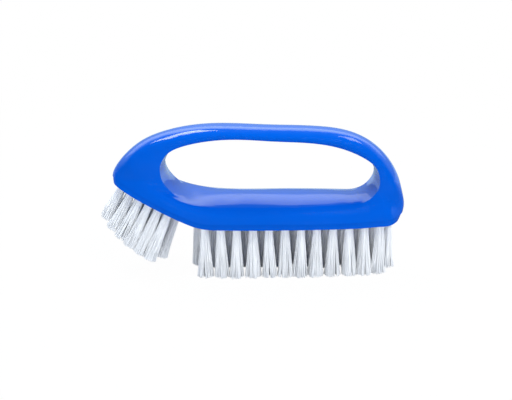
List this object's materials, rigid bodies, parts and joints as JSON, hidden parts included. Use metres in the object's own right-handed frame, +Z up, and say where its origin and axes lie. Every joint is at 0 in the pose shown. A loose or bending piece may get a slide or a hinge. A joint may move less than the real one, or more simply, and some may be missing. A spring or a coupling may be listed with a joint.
{
  "type": "scrub brush",
  "caption": "Hand scrub brush with a moulded loop-handle body, an upturned nose and separate bristle tufts held in blind holes by flat anchors.",
  "frame": {"origin": "on the surface that the main tufts stand on, under the middle of the brush's overall box", "axes": "+X from the nose to the heel, +Y across the brush to its far side, +Z up from the bristle ends to the grip bar"},
  "size_m": [0.1764, 0.0444, 0.0864],
  "materials": {
    "body": "smooth glossy blue moulded plastic",
    "bristle": "white synthetic filaments with a soft sheen",
    "anchor": "bare drawn strip"
  },
  "bodies": {
    "root": {"body": "body", "main_anchors": "anchor", "main_tuft_far_01": "bristle", "main_tuft_far_02": "bristle", "main_tuft_far_03": "bristle", "main_tuft_far_04": "bristle", "main_tuft_far_05": "bristle", "main_tuft_far_06": "bristle", "main_tuft_far_07": "bristle", "main_tuft_far_08": "bristle", "main_tuft_far_09": "bristle", "main_tuft_far_10": "bristle", "main_tuft_far_11": "bristle", "main_tuft_far_12": "bristle", "main_tuft_middle_01": "bristle", "main_tuft_middle_02": "bristle", "main_tuft_middle_03": "bristle", "main_tuft_middle_04": "bristle", "main_tuft_middle_05": "bristle", "main_tuft_middle_06": "bristle", "main_tuft_middle_07": "bristle", "main_tuft_middle_08": "bristle", "main_tuft_middle_09": "bristle", "main_tuft_middle_10": "bristle", "main_tuft_middle_11": "bristle", "main_tuft_middle_12": "bristle", "main_tuft_middle_13": "bristle", "main_tuft_near_01": "bristle", "main_tuft_near_02": "bristle", "main_tuft_near_03": "bristle", "main_tuft_near_04": "bristle", "main_tuft_near_05": "bristle", "main_tuft_near_06": "bristle", "main_tuft_near_07": "bristle", "main_tuft_near_08": "bristle", "main_tuft_near_09": "bristle", "main_tuft_near_10": "bristle", "main_tuft_near_11": "bristle", "main_tuft_near_12": "bristle", "nose_anchors": "anchor", "nose_tuft_01": "bristle", "nose_tuft_02": "bristle", "nose_tuft_03": "bristle", "nose_tuft_04": "bristle", "nose_tuft_05": "bristle", "nose_tuft_06": "bristle", "nose_tuft_07": "bristle", "nose_tuft_08": "bristle", "nose_tuft_09": "bristle", "nose_tuft_10": "bristle", "nose_tuft_11": "bristle", "nose_tuft_12": "bristle", "nose_tuft_13": "bristle", "nose_tuft_14": "bristle", "nose_tuft_15": "bristle", "nose_tuft_16": "bristle", "nose_tuft_17": "bristle"}
  },
  "joints": []
}
